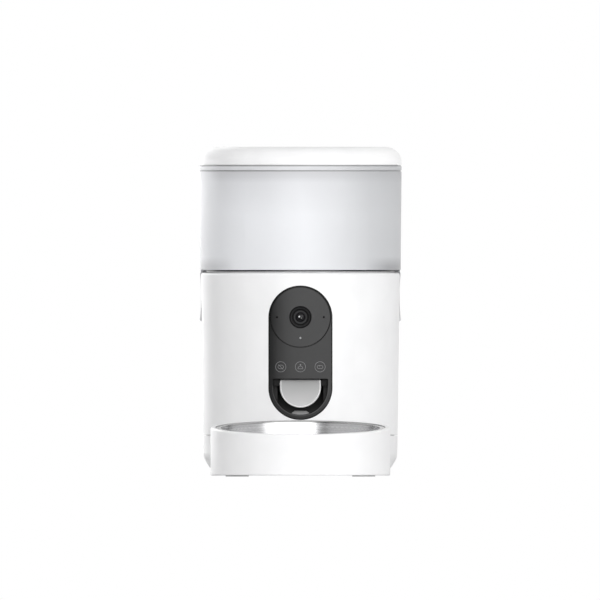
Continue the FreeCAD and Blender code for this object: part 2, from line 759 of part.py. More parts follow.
def make_baffle():
    """A cover over the food window, so that only a vane brings food to it."""
    ring = tube(funnel_radius - 0.2, 14.5, 0, wheel_y, chamber_top, chamber_top + 2.0)
    reach = 60.0
    corners = [Vector(0, wheel_y, chamber_top)]
    for angle in (-138, -90, -42):
        a = math.radians(angle)
        corners.append(Vector(reach * math.cos(a), wheel_y + reach * math.sin(a), chamber_top))
    wedge = Part.Face(Part.makePolygon(corners + corners[:1])).extrude(Vector(0, 0, 12))
    cone = Part.makeCone(funnel_radius - 4, 14.5, 9, Vector(0, wheel_y, chamber_top + 1.0))
    core = Part.makeCone(funnel_radius - 6.5, 12.0, 9, Vector(0, wheel_y, chamber_top - 1.0))
    roof = cone.cut([core, rod(14.5, 0, wheel_y, 140, 170)])
    return join(ring, roof).common(wedge)


export("food_baffle", make_baffle())


# Paddle wheel: hub, six vanes slotted for soft wipers, and a hexagonal socket underneath
def turned(shape, angle):
    copy = shape.copy()
    copy.rotate(Vector(0, wheel_y, 0), Vector(0, 0, 1), angle)
    return copy


def hexagon(across, z0, z1):
    points = []
    for index in range(7):
        a = math.radians(60 * index)
        r = across / 2 / math.cos(math.radians(30))
        points.append(Vector(r * math.cos(a), wheel_y + r * math.sin(a), z0))
    return Part.Face(Part.makePolygon(points)).extrude(Vector(0, 0, z1 - z0))


wheel_low = chamber_floor_top + 0.3
wheel_high = 149.6
vane_angle = 30.0
wiper_inner = 39.5


def make_paddle_wheel():
    hub = Part.makeCone(14, 12, wheel_high - wheel_low, Vector(0, wheel_y, wheel_low))
    neck = rod(12, 0, wheel_y, chamber_floor_bottom, wheel_low + 1)
    vane = box(9, vane_radius, wheel_y - 1.6, wheel_y + 1.6, wheel_low, wheel_high)
    tips = [e for e in vane.Edges if e.BoundBox.XMin > vane_radius - 1 and e.BoundBox.ZLength > 5]
    vane = vane.makeFillet(1.2, tips)
    slot = box(wiper_inner, vane_radius + 1, wheel_y - 0.6, wheel_y + 0.6, wheel_low - 1, wheel_high + 1)
    vane = vane.cut(slot)
    angles = [vane_angle + 360 / vane_count * index for index in range(vane_count)]
    wheel = join(hub, neck, *[turned(vane, angle) for angle in angles])
    return wheel.cut([hexagon(12.6, 110, 128.5), rod(4.0, 0, wheel_y, 141, 160)])


export("paddle_wheel", make_paddle_wheel())

wipers = []
for index in range(vane_count):
    blade = box(wiper_inner, wiper_radius, wheel_y - 0.6, wheel_y + 0.6, wheel_low, wheel_high - 0.2)
    wipers.append(turned(blade, vane_angle + 360 / vane_count * index))
export("wheel_wipers", Part.makeCompound(wipers))


def make_stirrer():
    seat = rod(11.5, 0, wheel_y, wheel_high, wheel_high + 3)
    post = Part.makeCone(11.5, 4.5, 14, Vector(0, wheel_y, wheel_high + 3))
    peg = rod(4.0, 0, wheel_y, 141.2, wheel_high + 1)
    cap = Part.makeSphere(4.6, Vector(0, wheel_y, wheel_high + 17))
    arms = []
    for index, (length, rise) in enumerate(((34, 10), (30, 22), (26, 34))):
        slope = Vector(length, 0, rise)
        root = Vector(0, wheel_y, wheel_high + 14)
        arm = Part.makeCylinder(2.4, slope.Length, root, slope)
        tip = Part.makeSphere(2.4, root + slope)
        arms.append(turned(arm.fuse(tip), 120 * index + 15))
    return join(seat, post, peg, cap, *arms)


export("stirrer", make_stirrer())


# Gear train: motor pinion, compound idler and output gear, three to one at each mesh
def gear_outline(teeth, z, x, y, tooth_at):
    """Involute teeth, thinned for backlash, with one tooth centred on the angle tooth_at."""
    pitch = gear_module * teeth / 2
    base = pitch * math.cos(math.radians(20))
    root = pitch - 1.2 * gear_module
    radii = [root, max(base, pitch - 0.7 * gear_module), pitch, pitch + 0.85 * gear_module]

    def involute(radius):
        a = math.acos(min(1.0, base / radius))
        return math.tan(a) - a

    half_tooth = math.pi / 2 / teeth * 0.86
    flank = []
    for radius in radii:
        flank.append((radius, half_tooth + involute(pitch) - involute(max(radius, base))))
    points = []
    for index in range(teeth):
        middle = math.radians(tooth_at) + 2 * math.pi * index / teeth
        for radius, half in flank:
            points.append(Vector(x + radius * math.cos(middle - half), y + radius * math.sin(middle - half), z))
        for radius, half in reversed(flank):
            points.append(Vector(x + radius * math.cos(middle + half), y + radius * math.sin(middle + half), z))
    return Part.makePolygon(points + points[:1])


def gear(teeth, z0, z1, x, y, tooth_at):
    return Part.Face(gear_outline(teeth, z0, x, y, tooth_at)).extrude(Vector(0, 0, z1 - z0))


idler_y = wheel_y + gear_centres
pinion_y = idler_y + gear_centres
axle_radius = 1.5
low_gear = (90.5, 96.0)
high_gear = (97.4, 103.6)
shaft_radius = 4.0

pinion_gap = 270 + 180 / pinion_teeth
output = gear(wheel_teeth, high_gear[0], high_gear[1], 0, wheel_y, 90)
shaft_parts = [
    rod(6.0, 0, wheel_y, high_gear[1], gear_ceiling - 0.4),
    rod(shaft_radius, 0, wheel_y, gear_floor + 0.6, 122),
    rod(2.5, 0, wheel_y, gear_floor - 1.4, gear_floor + 1),
]
export("output_gear", join(output, *shaft_parts))

idler = gear(wheel_teeth, low_gear[0], low_gear[1], 0, idler_y, 90)
idler_top = gear(pinion_teeth, low_gear[1], high_gear[1] + 0.6, 0, idler_y, pinion_gap)
idler = join(idler, idler_top, rod(3.0, 0, idler_y, gear_floor + 0.4, low_gear[0]))
export("idler_gear", idler.cut(rod(axle_radius + shaft_play, 0, idler_y, 80, 110)))
export("idler_axle", rod(axle_radius, 0, idler_y, gear_floor - 1.6, gear_ceiling + 1.4))

pinion = gear(pinion_teeth, low_gear[0] - 0.6, low_gear[1] + 0.6, 0, pinion_y, pinion_gap)
export("motor_pinion", join(pinion, rod(axle_radius, 0, pinion_y, gear_floor - 1.5, low_gear[1] + 2)))

coupling = join(rod(9.5, 0, wheel_y, 110.8, 113.6), hexagon(12.0, 113.0, 127.0))
coupling = coupling.cut(rod(shaft_radius, 0, wheel_y, 100, 122))
export("drive_coupling", coupling)


def gearbox_plan(grow, z0, z1):
    """The case's plan: a wide stadium round both large gears, a narrow one out to the pinion."""
    wide = 20.6 + grow
    narrow = 13.0 + grow
    return join(
        rod(wide, 0, wheel_y, z0, z1),
        rod(wide, 0, idler_y, z0, z1),
        box(-wide, wide, wheel_y, idler_y, z0, z1),
        rod(narrow, 0, pinion_y, z0, z1),
        box(-narrow, narrow, idler_y, pinion_y, z0, z1),
    )


gearbox_ears = [(27.0, wheel_y - 6), (-27.0, wheel_y - 6), (27.0, idler_y + 6), (-27.0, idler_y + 6)]


def ear_block(x, y, z0, z1):
    inner = 18 if x > 0 else -18
    return join(rod(4.0, x, y, z0, z1), box(min(x, inner), max(x, inner), y - 4, y + 4, z0, z1))


def make_gearbox_case():
    outer = gearbox_plan(2.0, gear_floor - 2.0, gear_ceiling)
    outer = join(outer, *[ear_block(x, y, gear_ceiling - 4, gear_ceiling) for x, y in gearbox_ears])
    cuts = [gearbox_plan(0, gear_floor, gear_ceiling + 1)]
    for x, y in gearbox_ears:
        cuts.append(rod(1.6, x, y, 90, 120))
    cuts.append(rod(axle_radius, 0, idler_y, gear_floor - 1.6, gear_floor + 1))
    cuts.append(rod(2.5 + shaft_play, 0, wheel_y, gear_floor - 1.6, gear_floor + 1))
    cuts.append(rod(3.6, 0, pinion_y, 80, gear_floor + 1))
    return outer.cut(cuts)


export("gearbox_case", make_gearbox_case())

bush_radius = 6.5


def make_gearbox_cover():
    plate = gearbox_plan(2.0, gear_ceiling, gear_ceiling + 2.0)
    plate = join(plate, *[ear_block(x, y, gear_ceiling, well_floor_bottom) for x, y in gearbox_ears])
    plate = join(plate, rod(bush_radius + 1.8, 0, wheel_y, gear_ceiling, gear_ceiling + 4.2))
    cuts = [rod(bush_radius, 0, wheel_y, 100, 120), rod(axle_radius, 0, idler_y, 100, gear_ceiling + 1.4)]
    for x, y in gearbox_ears:
        cuts.append(rod(1.6, x, y, 90, 120))
    return plate.cut(cuts)


export("gearbox_cover", make_gearbox_cover())
bush = tube(bush_radius, shaft_radius + shaft_play, 0, wheel_y, gear_ceiling, gear_ceiling + 4.2)
export("output_bush", bush)

screws = []
for x, y in gearbox_ears:
    screws.append(join(rod(3.0, x, y, 99.8, 102), rod(1.6, x, y, 102, well_floor_bottom)))
export("gearbox_screws", Part.makeCompound(screws))

motor_can = rod(13.8, 0, pinion_y, 54, gear_floor - 2.0)
motor_can = motor_can.makeFillet(1.5, level_edges(motor_can, 54))
motor_tabs = [box(x - 2, x + 2, pinion_y - 0.5, pinion_y + 0.5, 50, 54.5) for x in (-8, 8)]
motor_nose = rod(3.4, 0, pinion_y, gear_floor - 2.0, gear_floor - 0.2)
motor = join(motor_can, motor_nose, rod(4.5, 0, pinion_y, 52.4, 54.5), *motor_tabs)
export("drive_motor", motor.cut(rod(axle_radius + shaft_play, 0, pinion_y, gear_floor - 1.5, gear_floor + 1)))


# Electronics at the back, on top of the battery bay
board_low = 44.0
board_high = 45.6


def make_main_board():
    board = plan_box(-52, 52, 2, 58, board_low, board_high)
    chips = [
        plan_box(-44, -30, 10, 24, board_high, board_high + 1.6),
        plan_box(26, 44, 8, 26, board_high, board_high + 3.2),
        plan_box(22, 30, 36, 44, board_high, board_high + 6),
    ]
    holes = [rod(1.6, x, plan_y + y, 40, 50) for x, y in board_screw_places]
    return join(board, *chips).cut(holes)


board_screw_places = [(-48, 6), (48, 6), (-48, 34), (48, 34)]
export("main_board", make_main_board())

board_fixings = []
for x, y in board_screw_places:
    spacer = rod(3.0, x, plan_y + y, bay["top"] + 1.6, board_low)
    head = rod(2.8, x, plan_y + y, board_high, board_high + 1.8)
    board_fixings.append(join(spacer, rod(1.6, x, plan_y + y, board_low, board_high), head))
export("board_screws", Part.makeCompound(board_fixings))

inlet_shell = plan_box(inlet_x - 4.5, inlet_x + 4.5, 54, 62.4, board_high, board_high + 3.2)
inlet_shell = inlet_shell.makeFillet(1.4, [e for e in inlet_shell.Edges if e.BoundBox.YLength > 5])
inlet_void = plan_box(inlet_x - 4.15, inlet_x + 4.15, 56, 70, board_high + 0.35, board_high + 2.85)
inlet_void = inlet_void.makeFillet(1.2, [e for e in inlet_void.Edges if e.BoundBox.YLength > 5])
tongue = plan_box(inlet_x - 3.2, inlet_x + 3.2, 55, 61.4, board_high + 1.25, board_high + 1.95)
export("power_inlet", join(inlet_shell.cut(inlet_void), tongue))

button_back = plan_y + 58.2
button_face = plan_y + back_depth + body_grow(reset_z) - 0.3
button_collar = rod_y(3.6, reset_x, button_back, button_back + 1.2, reset_z)
export("reset_button", join(rod_y(2.5, reset_x, button_back, button_face, reset_z), button_collar))
switch = plan_box(reset_x - 3, reset_x + 3, 52, 56.2, board_high, board_high + 5)
export("reset_switch", switch)

speaker_back = plan_y + back_depth + body_grow(speaker_z) - body_wall
cone_ring = rod_y(18.0, speaker_x, speaker_back - 5.5, speaker_back - 0.3, speaker_z)
cone_hollow = Part.makeCone(15.5, 6.0, 4.0, Vector(speaker_x, speaker_back, speaker_z), Vector(0, -1, 0))
magnet = rod_y(10.0, speaker_x, speaker_back - 12, speaker_back - 5.5, speaker_z)
export("speaker", join(cone_ring.cut(cone_hollow), magnet))


# Lid with its plug, seal and desiccant box
lid_roof = lid_top - lid_wall
box_radius = 27.0
box_low = 294.0


def make_lid():
    outer = shell_block(lid_grow, lid_bottom, lid_grow, lid_top)
    outer = outer.makeFillet(lid_edge_radius, level_edges(outer, lid_top))
    inner = shell_block(lid_grow - lid_wall, lid_bottom - 1, lid_grow - lid_wall, lid_roof)
    inner = inner.makeFillet(lid_edge_radius - lid_wall, level_edges(inner, lid_roof))
    plug = shell_block(-0.75, 286.5, -0.75, 308.6).cut(shell_block(-2.75, 286, -2.75, 309))
    seat = shell_block(0, 288.2, 0, 291.0).cut(shell_block(-1.75, 288, -1.75, 292))
    return join(outer.cut(inner), plug).cut(seat)


export("lid", make_lid())
seal = shell_block(-0.8, 288.2, -0.1, 291.0).cut(shell_block(-1.75, 288, -1.75, 292))
export("lid_seal", seal)


def make_desiccant_box():
    cup = rod(box_radius, 0, plan_y, box_low, lid_roof)
    cup = cup.cut(rod(box_radius - 1.6, 0, plan_y, box_low - 1, lid_roof - 1.5))
    groove = tube(box_radius - 0.7, box_radius - 2, 0, plan_y, box_low + 2.0, box_low + 3.6)
    entries = []
    for angle in (35, 215):
        entry = box(box_radius - 3, box_radius - 0.7, wheel_y - 4, wheel_y + 4, box_low - 1, box_low + 3.6)
        entry = turned(entry, angle)
        entry.translate(Vector(0, plan_y - wheel_y, 0))
        entries.append(entry)
    return cup.cut([groove] + entries)


export("desiccant_box", make_desiccant_box())


def make_desiccant_cover():
    disc = rod(box_radius + 1.5, 0, plan_y, box_low - 3.0, box_low - 0.3)
    disc = disc.makeFillet(0.8, level_edges(disc, box_low - 3.0))
    rim = tube(box_radius - 1.9, box_radius - 3.6, 0, plan_y, box_low - 0.4, box_low + 4.0)
    lugs = []
    for angle in (0, 180):
        lug = box(box_radius - 3, box_radius - 1.0, wheel_y - 3, wheel_y + 3, box_low + 2.3, box_low + 3.3)
        lug = turned(lug, angle)
        lug.translate(Vector(0, plan_y - wheel_y, 0))
        lugs.append(lug)
    grip = box(-13, 13, plan_y - 1.4, plan_y + 1.4, box_low - 7.5, box_low - 2.9)
    slots = []
    for x in (-18, -11, 11, 18):
        reach = 8 if abs(x) > 12 else 14
        for y0, y1 in ((3, 3 + reach), (-3 - reach, -3)):
            slots.append(box(x - 1.2, x + 1.2, plan_y + y0, plan_y + y1, box_low - 5, box_low + 1))
    return join(disc, rim, *lugs, grip).cut(slots)


export("desiccant_cover", make_desiccant_cover())


# Bowl tray: a ring with a rim tilted to the front, and the bowl on a shelf inside it
rim_middle = (tray_front_height + tray_rear_height) / 2
rim_tilt = math.degrees(math.atan((tray_rear_height - tray_front_height) / (2 * tray_radius)))
shelf_depth = 1.6
shelf_thickness = 3.0
seat_radius = bowl_radius + piece_gap
shelf_radius = 77.4


def tilted(shape):
    """Lays a shape, built with its rim at zero height, on the tilted rim plane."""
    copy = shape.copy()
    copy.rotate(Vector(0, 0, 0), Vector(1, 0, 0), rim_tilt)
    copy.translate(Vector(0, tray_y, rim_middle))
    return copy


def make_tray():
    above = tilted(box(-120, 120, -120, 120, 0, 60))
    body = rod(tray_radius, 0, tray_y, tray_bottom, 80).cut(above)
    rim = [e for e in body.Edges if e.BoundBox.ZMin > 30 and e.BoundBox.XLength > 100]
    body = body.makeFillet(1.8, rim)
    body = body.makeChamfer(1.0, level_edges(body, tray_bottom))
    below_shelf = tilted(box(-120, 120, -120, 120, -120, -shelf_depth - shelf_thickness))
    cavity = rod(tray_radius - tray_wall, 0, tray_y, tray_bottom + tray_wall, 80).common(below_shelf)
    seat = tilted(Part.makeCylinder(seat_radius, 20, Vector(0, 0, -shelf_depth)))
    mouth = tilted(Part.makeCylinder(shelf_radius, 30, Vector(0, 0, -10)))
    body = body.cut([cavity, seat, mouth])
    tongue = box(-tongue_half_width, tongue_half_width, tray_y + 78, plan_y + tongue_end, 6.4, 14.1)
    corners = [e for e in tongue.Edges if e.BoundBox.ZLength > 5 and e.BoundBox.YMin > plan_y + tongue_end - 1]
    tongue = tongue.makeFillet(5.0, corners)
    tongue = tongue.cut(rod(tray_radius - tray_wall - 0.01, 0, tray_y, 0, 40))
    pads = [rod(foot_radius, x, tray_y + y, 0, tray_bottom + foot_recess) for x, y in tray_foot_places]
    return join(body, tongue).cut(pads)


tray_foot_places = [(57, -41), (-57, -41), (57, 41), (-57, 41)]
export("bowl_tray", make_tray())
pads = [rod(foot_radius, x, tray_y + y, 0, tray_bottom + foot_recess) for x, y in tray_foot_places]
export("tray_feet", Part.makeCompound(pads))


def make_bowl():
    steel = 0.8
    floor = -bowl_depth

    def at(r, z):
        return Vector(r, 0, z)

    points = [
        at(bowl_radius, -1.5), at(77.0, -1.5), at(74.2, -16), at(57, floor), at(0, floor),
        at(0, floor + steel), at(57, floor + steel), at(73.4, -16), at(76.2, -0.7), at(bowl_radius, -0.7),
    ]
    edges = [
        Part.makeLine(points[0], points[1]),
        Part.makeLine(points[1], points[2]),
        Part.Arc(points[2], at(69.3, -28.3), points[3]).toShape(),
        Part.makeLine(points[3], points[4]),
        Part.makeLine(points[4], points[5]),
        Part.makeLine(points[5], points[6]),
        Part.Arc(points[6], at(68.7, -27.8), points[7]).toShape(),
        Part.makeLine(points[7], points[8]),
        Part.makeLine(points[8], points[9]),
        Part.makeLine(points[9], points[0]),
    ]
    section = Part.Face(Part.Wire(edges))
    return tilted(section.revolve(Vector(0, 0, 0), Vector(0, 0, 1), 360))


export("bowl", make_bowl())

screws = []
for x, y in screw_places:
    head = rod(3.0, x, plan_y + y, base_bottom + 3.4, base_bottom + 6)
    screws.append(join(head, rod(1.5, x, plan_y + y, base_bottom + 6, 57)))
export("base_screws", Part.makeCompound(screws))
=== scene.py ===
import math

import bmesh
import bpy
from mathutils import Euler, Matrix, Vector
from mathutils.bvhtree import BVHTree


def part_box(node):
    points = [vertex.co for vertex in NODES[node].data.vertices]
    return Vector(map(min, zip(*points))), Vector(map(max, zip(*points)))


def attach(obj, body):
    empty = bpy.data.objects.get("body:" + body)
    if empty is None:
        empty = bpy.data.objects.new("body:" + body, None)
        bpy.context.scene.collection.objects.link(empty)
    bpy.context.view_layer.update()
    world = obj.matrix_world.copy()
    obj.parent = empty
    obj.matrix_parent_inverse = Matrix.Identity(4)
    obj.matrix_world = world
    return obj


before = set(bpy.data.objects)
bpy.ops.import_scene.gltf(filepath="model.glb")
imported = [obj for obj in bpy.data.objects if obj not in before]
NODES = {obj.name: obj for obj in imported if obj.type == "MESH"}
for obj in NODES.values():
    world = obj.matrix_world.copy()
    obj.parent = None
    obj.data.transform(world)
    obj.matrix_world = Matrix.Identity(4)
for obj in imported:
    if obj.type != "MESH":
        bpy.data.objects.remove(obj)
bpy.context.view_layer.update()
MM = 0.001

# The photograph is a level front view without perspective
CAMERA_X = -0.0004
CAMERA_Z = 0.1687
CAMERA_DISTANCE = 2.0
VIEW_SPAN = 0.5738

# Camera end, touch keys and outlet, as heights and offsets on the panel
camera_low, camera_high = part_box("camera_disc")
LENS_Z = (camera_low.z + camera_high.z) / 2
SIGHT_SPACING = 22.4 * MM
KEY_Z = 104.8 * MM
KEY_SPACING = 18.8 * MM
KEY_RADIUS = 4.9 * MM
MOUTH_Z = 84.6 * MM

# The front wall and the panel curve round an upright axis, and the wall leans out with height
FRONT_AXIS_Y = 108.2 * MM
WALL_LEAN = 0.0139

# The bowl and the tray's rim are tilted to the front
BOWL_TILT = math.radians(4.59)


def rim_centre():
    """The middle of the bowl's rim."""
    tilt = Euler((BOWL_TILT, 0, 0)).to_matrix()
    points = [tilt.inverted() @ v.co for v in NODES["bowl"].data.vertices]
    top = max(p.z for p in points)
    rim = [p.y for p in points if p.z > top - 0.1 * MM]
    return tilt @ Vector((0, (min(rim) + max(rim)) / 2, top))


RIM_CENTRE = rim_centre()


def grey(level):
    return (level, level, level)


# Materials
GRAIN_DEPTH = 0.006 * MM


class Finish:
    """A material under construction: a Principled shader fed from coordinates in metres."""

    def __init__(self, name, colour, roughness, **constants):
        self.name = name
        self.colour = colour
        self.painted = colour
        self.roughness = roughness
        self.material = bpy.data.materials.new(name)
        self.material.use_nodes = True
        self.tree = self.material.node_tree
        self.tree.nodes.clear()
        self.output = self.node("ShaderNodeOutputMaterial")
        self.shader = self.node("ShaderNodeBsdfPrincipled")
        self.link(self.shader.outputs["BSDF"], self.output.inputs["Surface"])
        self.shader.inputs["Base Color"].default_value = (*colour, 1.0)
        self.shader.inputs["Roughness"].default_value = roughness
        for socket, value in constants.items():
            self.shader.inputs[socket.replace("_", " ")].default_value = value
        self.place = self.node("ShaderNodeTexCoord").outputs["Object"]

    def node(self, kind, **settings):
        made = self.tree.nodes.new(kind)
        for key, value in settings.items():
            setattr(made, key, value)
        return made

    def link(self, source, target):
        self.tree.links.new(source, target)

    def mapped(self, shift=(0, 0, 0), turn=(0, 0, 0), stretch=(1, 1, 1)):
        """Coordinates moved, then turned, then stretched."""
        moved = self.node("ShaderNodeMapping", vector_type="TEXTURE")
        moved.inputs["Location"].default_value = shift
        moved.inputs["Rotation"].default_value = turn
        self.link(self.place, moved.inputs["Vector"])
        scaled = self.node("ShaderNodeMapping", vector_type="POINT")
        scaled.inputs["Scale"].default_value = stretch
        self.link(moved.outputs["Vector"], scaled.inputs["Vector"])
        return scaled.outputs["Vector"]

    def axes(self, vector=None):
        """X, Y and Z of a vector, or of the place on the object."""
        made = self.node("ShaderNodeSeparateXYZ")
        self.link(vector or self.place, made.inputs["Vector"])
        return made.outputs["X"], made.outputs["Y"], made.outputs["Z"]

    def flat_vector(self, x, y):
        made = self.node("ShaderNodeCombineXYZ")
        self.link(x, made.inputs["X"])
        self.link(y, made.inputs["Y"])
        return made.outputs["Vector"]

    def normal(self):
        return self.node("ShaderNodeNewGeometry").outputs["True Normal"]

    def noise(self, size, detail, place=None):
        """Noise whose features are about that large, in metres."""
        made = self.node("ShaderNodeTexNoise")
        made.inputs["Scale"].default_value = 1 / size
        made.inputs["Detail"].default_value = detail
        self.link(place or self.place, made.inputs["Vector"])
        return made.outputs["Fac"]

    def remap(self, value, low, high, source=(0.3, 0.7)):
        """Turns the source range, which by default is noise's, into low to high."""
        made = self.node("ShaderNodeMapRange")
        made.inputs["From Min"].default_value = source[0]
        made.inputs["From Max"].default_value = source[1]
        made.inputs["To Min"].default_value = low
        made.inputs["To Max"].default_value = high
        self.link(value, made.inputs["Value"])
        return made.outputs["Result"]

    def rise(self, value, low, high):
        """0 up to low, 1 from high on."""
        return self.remap(value, 0.0, 1.0, (low, high))

    def fall(self, value, low, high):
        """1 up to low, 0 from high on."""
        return self.remap(value, 1.0, 0.0, (low, high))

    def between(self, value, low, high, soft=0.05 * MM):
        """1 where the value lies between low and high."""
        return self.times(self.rise(value, low - soft, low + soft),
                          self.fall(value, high - soft, high + soft))

    def maths(self, operation, first, second=None):
        made = self.node("ShaderNodeMath", operation=operation)
        for socket, value in zip(made.inputs, (first, second)):
            if isinstance(value, (int, float)):
                socket.default_value = value
            elif value is not None:
                self.link(value, socket)
        return made.outputs["Value"]

    def times(self, first, *others):
        for other in others:
            first = self.maths("MULTIPLY", first, other)
        return first

    def length(self, first, second):
        square = self.maths("ADD", self.times(first, first), self.times(second, second))
        return self.maths("SQRT", square)

    def from_line(self, line_x, line_z):
        """Distance from a line along Y."""
        x, _, z = self.axes()
        return self.length(self.maths("SUBTRACT", x, line_x), self.maths("SUBTRACT", z, line_z))

    def mix(self, share, first, second):
        """Colours mixed: the first where the share is 0, the second where it is 1."""
        made = self.node("ShaderNodeMix", data_type="RGBA")
        if isinstance(share, float):
            made.inputs[0].default_value = share
        else:
            self.link(share, made.inputs[0])
        for socket, value in ((made.inputs[6], first), (made.inputs[7], second)):
            if isinstance(value, tuple):
                socket.default_value = (*value, 1.0)
            else:
                self.link(value, socket)
        return made.outputs[2]

    def paint(self, colour):
        self.painted = colour
        self.link(colour, self.shader.inputs["Base Color"])

    def overlay(self, share, colour):
        """Lays a colour over the paint so far, where the share is 1."""
        self.paint(self.mix(share, self.painted, colour))

    def gloss(self, roughness):
        self.link(roughness, self.shader.inputs["Roughness"])

    def bump(self, height, depth):
        made = self.node("ShaderNodeBump")
        made.inputs["Distance"].default_value = depth
        made.inputs["Strength"].default_value = 1.0
        self.link(height, made.inputs["Height"])
        self.link(made.outputs["Normal"], self.shader.inputs["Normal"])

    def mottle(self, amount, size=0.03):
        """Slow, faint changes of colour over the surface."""
        dark = tuple(c * (1 - amount) for c in self.colour)
        light = tuple(min(1.0, c * (1 + amount / 2)) for c in self.colour)
        self.paint(self.mix(self.remap(self.noise(size, 3.0), 0.0, 1.0), dark, light))

    def worn(self, spread, size=0.02):
        """Slow changes of gloss, as handling leaves them."""
        wear = self.noise(size, 4.0)
        self.gloss(self.remap(wear, self.roughness - spread, self.roughness + spread))

    def grained(self, depth=GRAIN_DEPTH):
        """The uneven gloss and spark-eroded grain of a moulding."""
        self.worn(0.03)
        self.bump(self.noise(0.25 * MM, 3.0), depth)

    def patterned(self, pattern, shade):
        """One pattern that darkens the colour, and changes the gloss and the relief slightly."""
        dark = tuple(c * shade for c in self.colour)
        self.paint(self.mix(self.remap(pattern, 0.0, 1.0), dark, self.colour))
        self.gloss(self.remap(pattern, self.roughness - 0.05, self.roughness + 0.08))
        self.bump(pattern, 0.01 * MM)


def moulded(name, colour, roughness, depth=GRAIN_DEPTH, **constants):
    """Injection-moulded plastic."""
    finish = Finish(name, colour, roughness, **constants)
    finish.mottle(0.025)
    finish.grained(depth)
    return finish


def white_housing(name):
    return moulded(name, (0.86, 0.86, 0.865), 0.34)


def polished(name, colour, roughness):
    """Polished plastic: slight waviness from moulding, and hairline scuffs in the gloss."""
    finish = Finish(name, colour, roughness, Specular_IOR_Level=0.4)
    finish.mottle(0.05, 0.02)
    hairlines = finish.noise(0.5 * MM, 4.0, finish.mapped(stretch=(1, 1, 0.06)))
    finish.gloss(finish.remap(hairlines, roughness - 0.02, roughness + 0.05, (0.45, 0.75)))
    finish.bump(finish.noise(18 * MM, 1.0), 0.03 * MM)
    return finish


def metal(name, colour, roughness, lines=(1, 1, 0.05), size=0.4 * MM):
    """Metal with fine drawn lines along the direction in which the noise is stretched."""
    finish = Finish(name, colour, roughness, Metallic=1.0)
    finish.patterned(finish.noise(size, 3.0, finish.mapped(stretch=lines)), shade=0.88)
    return finish


def rubber(name, colour, roughness=0.75):
    finish = Finish(name, colour, roughness, Specular_IOR_Level=0.3)
    finish.mottle(0.12, 0.008)
    finish.worn(0.08, 0.006)
    finish.bump(finish.noise(0.4 * MM, 4.0), 0.03 * MM)
    return finish


# Heights on the hopper in mm: painted shade that grows towards its collar, and the grey levels of
# painted shade in its grooves
COLLAR_SHADES = ((250, 282, 0.22), (281, 286, 0.26), (285, 291.6, 0.26))
WALL_GROOVE_SHADES = ((291.6, 292.9, 0.43), (296.5, 298.0, 0.5))


def frosted(name):
    """Translucent hopper wall: etched and milky, with painted shade under its collar, in its
    grooves, at its foot's corners and to the right.
    """
    finish = Finish(name, (0.94, 0.95, 0.975), 0.4, Transmission_Weight=0.25, IOR=1.46)
    finish.mottle(0.02, 0.05)
    x, _, z = finish.axes()
    # Painted shade under the collar, lighter above the lower groove and none at the far left
    under_collar_shade = finish.times(finish.remap(z, 1.0, 0.4, (292.4 * MM, 292.9 * MM)),
                                finish.rise(x, -94 * MM, -76 * MM))
    for low, high, share in COLLAR_SHADES:
        shade = finish.times(under_collar_shade, finish.remap(z, 0.0, share, (low * MM, high * MM)))
        finish.overlay(shade, (0.5, 0.5, 0.52))
    # Painted shade in the two grooves
    for low, high, level in WALL_GROOVE_SHADES:
        groove_shade = finish.between(z, low * MM, high * MM, 0.1 * MM)
        finish.overlay(groove_shade, (level, level, level + 0.01))
    # Painted shade in the corners at the foot, deeper towards the right
    corner = finish.rise(finish.maths("ABSOLUTE", x), 62 * MM, 84 * MM)
    foot = finish.fall(z, 201 * MM, 210 * MM)
    to_right = finish.remap(x, 0.45, 1.0, (-80 * MM, 80 * MM))
    finish.overlay(finish.times(corner, foot, to_right), (0.45, 0.45, 0.47))
    # Painted shade over the right-hand side
    finish.overlay(finish.remap(x, 0.0, 0.5, (2 * MM, 67 * MM)), (0.5, 0.51, 0.52))
    finish.worn(0.04, 0.03)
    finish.bump(finish.noise(0.35 * MM, 3.0), 0.015 * MM)
    return finish


def facing_out(finish):
    """How squarely a face looks away from the front's axis: 1 on the wall, less on a bevel."""
    x, y, _ = finish.axes()
    outward = finish.node("ShaderNodeVectorMath", operation="NORMALIZE")
    from_axis = finish.flat_vector(x, finish.maths("SUBTRACT", y, FRONT_AXIS_Y))
    finish.link(from_axis, outward.inputs[0])
    product = finish.node("ShaderNodeVectorMath", operation="DOT_PRODUCT")
    finish.link(outward.outputs["Vector"], product.inputs[0])
    finish.link(finish.normal(), product.inputs[1])
    return product.outputs["Value"]


def edged(finish, seam):
    """Paints shade on a polished face at its bevels, camera seam and holes, and towards its foot
    and left, and a painted highlight on its mouth's lower rim.
    """
    x, _, z = finish.axes()
    # Where painted shade goes: the camera seam, the holes, towards the foot and the left, and the
    # bevels
    camera_seam_shadow = finish.between(finish.from_line(0.0, LENS_Z), seam[0] * MM, seam[1] * MM)
    holes = [finish.fall(finish.from_line(hole_x, LENS_Z), 0.9 * MM, 1.1 * MM)
             for hole_x in (-SIGHT_SPACING, SIGHT_SPACING)]
    foot = finish.remap(z, 0.72, 0.0, (58 * MM, 82 * MM))
    left = finish.remap(x, 0.85, 0.0, (-31 * MM, -22 * MM))
    painted_dark = finish.fall(facing_out(finish), 0.94, 0.98)
    for mark in (camera_seam_shadow, *holes, foot, left):
        painted_dark = finish.maths("MAXIMUM", painted_dark, mark)
    # Painted shade: these places are painted near black
    finish.overlay(painted_dark, grey(0.012))
    # Painted highlight on the lower rim of the mouth
    mouth_rim_highlight = finish.times(finish.between(finish.from_line(0.0, MOUTH_Z), 20 * MM, 27 * MM),
                             finish.fall(z, MOUTH_Z, MOUTH_Z + 3 * MM))
    finish.overlay(mouth_rim_highlight, grey(0.035))
    # The painted shade is also made metallic, which darkens its reflection; the painted highlight
    # is not
    metallic = finish.maths("SUBTRACT", finish.times(painted_dark, 0.8), mouth_rim_highlight)
    finish.link(finish.maths("MAXIMUM", metallic, 0.0), finish.shader.inputs["Metallic"])
    return finish


